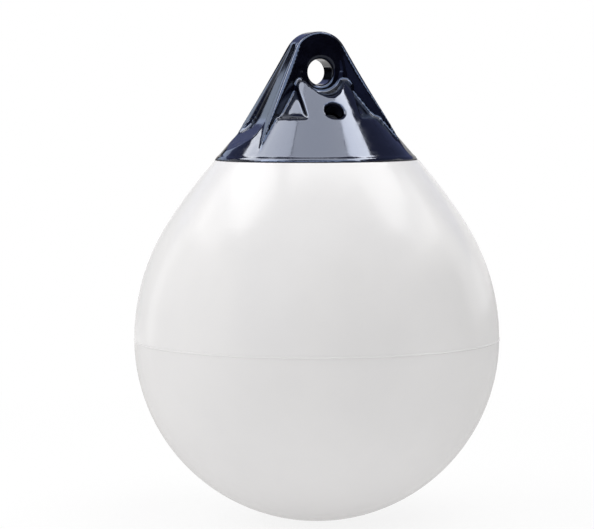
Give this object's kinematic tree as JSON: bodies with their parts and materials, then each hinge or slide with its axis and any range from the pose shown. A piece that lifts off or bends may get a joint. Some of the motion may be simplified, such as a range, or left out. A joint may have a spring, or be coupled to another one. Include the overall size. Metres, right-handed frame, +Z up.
{
  "type": "inflatable mooring buoy",
  "caption": "Round inflatable vinyl buoy, white float tapering to a dark blue ribbed rope hold with an eye and a recessed inflation valve",
  "frame": {"origin": "centre of the rope eye, midway between its two flats", "axes": "+Z up along the buoy's axis from the float to the eye, +Y along the eye from the valve side to the back, +X to the right seen from the valve side"},
  "size_m": [0.3711, 0.3712, 0.495],
  "materials": {
    "float_vinyl": "smooth glossy white vinyl",
    "hold_vinyl": "polished dark navy vinyl",
    "valve_plastic": "black moulded nylon",
    "seal_rubber": "soft black rubber"
  },
  "bodies": {
    "buoy": {"float_body": "float_vinyl", "rope_hold": "hold_vinyl", "valve_seat": "valve_plastic"},
    "seal": {"valve_seal": "seal_rubber"},
    "plug": {"valve_plug": "valve_plastic"}
  },
  "joints": [
    {"name": "valve_lift", "type": "slide", "parent": "buoy", "child": "seal", "axis": [0, -0.7604, 0.6494], "range_m": [0, 0.012]},
    {"name": "valve_turn", "type": "hinge", "parent": "seal", "child": "plug", "pos_m": [0, -0.05979, -0.0382], "axis": [0, -0.7604, 0.6494], "range_deg": [0, 1440]}
  ],
  "couplings": [
    {"joint": "valve_turn", "follows": "valve_lift", "rad_per_m": 2094.4}
  ]
}
